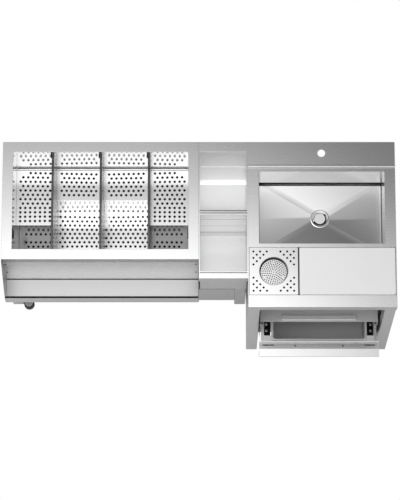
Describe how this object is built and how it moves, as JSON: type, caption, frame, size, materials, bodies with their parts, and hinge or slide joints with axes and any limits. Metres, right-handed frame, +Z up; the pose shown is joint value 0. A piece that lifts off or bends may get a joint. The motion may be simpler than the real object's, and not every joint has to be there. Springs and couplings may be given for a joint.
{
  "type": "bar sink with ice bin",
  "caption": "Stainless steel bar station with a divided ice bin, bottle rail, bottle wells, a bar sink, drip plate, cutting board and waste drawer.",
  "frame": {"origin": "centre of the whole box on the floor", "axes": "+X along the counter to the sink's end, +Y to the back, +Z up"},
  "size_m": [1.8, 0.907, 0.882],
  "materials": {
    "steel": "satin",
    "steel_polished": "polished",
    "steel_perforated": "bright",
    "rubber": "matt",
    "foam": "matt",
    "board": "matt",
    "glide": "matt"
  },
  "bodies": {
    "station": {"base_shelf": "steel", "board_pan": "steel", "bottle_rail": "steel", "bottom_shelf": "steel", "dish_posts": "steel", "drain_strainer": "steel_polished", "drain_tail": "steel", "drawer_housing": "steel", "drip_tray": "steel", "false_bottom": "steel_perforated", "fixed_slides": "steel", "floor_runners": "steel", "foot_base": "rubber", "foot_shell": "steel", "front_well": "steel", "housing_pull": "steel", "ice_casing": "steel", "ice_drain": "steel", "ice_insulation": "foam", "ice_leg_front": "steel", "ice_leg_rear": "steel", "ice_tank": "steel", "ice_worktop": "steel", "leg_glides": "glide", "overflow_baffle": "steel", "rail_end_left": "steel", "rail_end_right": "steel", "rail_screws": "steel_polished", "rear_well": "steel", "side_grommets": "rubber", "sink_apron": "steel", "sink_back_panel": "steel", "sink_bowl": "steel", "sink_leg_front_left": "steel", "sink_leg_front_right": "steel", "sink_leg_rear_left": "steel", "sink_leg_rear_right": "steel", "sink_side_left": "steel", "sink_side_right": "steel", "sink_worktop": "steel", "well_leg_front": "steel", "well_leg_rear": "steel", "well_worktop": "steel"},
    "divider_1": {"divider_1": "steel", "divider_clip_1": "rubber"},
    "divider_2": {"divider_2": "steel", "divider_clip_2": "rubber"},
    "divider_3": {"divider_3": "steel", "divider_clip_3": "rubber"},
    "deck_1": {"deck_1": "steel_perforated"},
    "deck_2": {"deck_2": "steel_perforated"},
    "deck_3": {"deck_3": "steel_perforated"},
    "deck_4": {"deck_4": "steel_perforated"},
    "drip_plate": {"drip_plate": "steel_perforated"},
    "strainer_dish": {"strainer_dish": "steel_perforated"},
    "cutting_board": {"cutting_board": "board"},
    "drawer": {"drawer_front": "steel", "front_screws": "steel_polished", "drawer_arms": "steel"},
    "waste_bin": {"waste_bin": "steel"}
  },
  "joints": [
    {"name": "divider_1_lift", "type": "slide", "parent": "station", "child": "divider_1", "axis": [0, 0, 1], "range_m": [0, 0.5]},
    {"name": "divider_2_lift", "type": "slide", "parent": "station", "child": "divider_2", "axis": [0, 0, 1], "range_m": [0, 0.5]},
    {"name": "divider_3_lift", "type": "slide", "parent": "station", "child": "divider_3", "axis": [0, 0, 1], "range_m": [0, 0.5]},
    {"name": "deck_1_lift", "type": "slide", "parent": "station", "child": "deck_1", "axis": [0, 0, 1], "range_m": [0, 0.2]},
    {"name": "deck_2_lift", "type": "slide", "parent": "station", "child": "deck_2", "axis": [0, 0, 1], "range_m": [0, 0.2]},
    {"name": "deck_3_lift", "type": "slide", "parent": "station", "child": "deck_3", "axis": [0, 0, 1], "range_m": [0, 0.2]},
    {"name": "deck_4_lift", "type": "slide", "parent": "station", "child": "deck_4", "axis": [0, 0, 1], "range_m": [0, 0.2]},
    {"name": "drip_plate_lift", "type": "slide", "parent": "station", "child": "drip_plate", "axis": [0, 0, 1], "range_m": [0, 0.15]},
    {"name": "strainer_dish_lift", "type": "slide", "parent": "drip_plate", "child": "strainer_dish", "axis": [0, 0, 1], "range_m": [0, 0.12]},
    {"name": "cutting_board_lift", "type": "slide", "parent": "station", "child": "cutting_board", "axis": [0, 0, 1], "range_m": [0, 0.2]},
    {"name": "drawer_slide", "type": "slide", "parent": "station", "child": "drawer", "axis": [0, -1, 0], "range_m": [-0.081, 0.24]},
    {"name": "waste_bin_lift", "type": "slide", "parent": "drawer", "child": "waste_bin", "axis": [0, 0, 1], "range_m": [0, 0.03]}
  ]
}
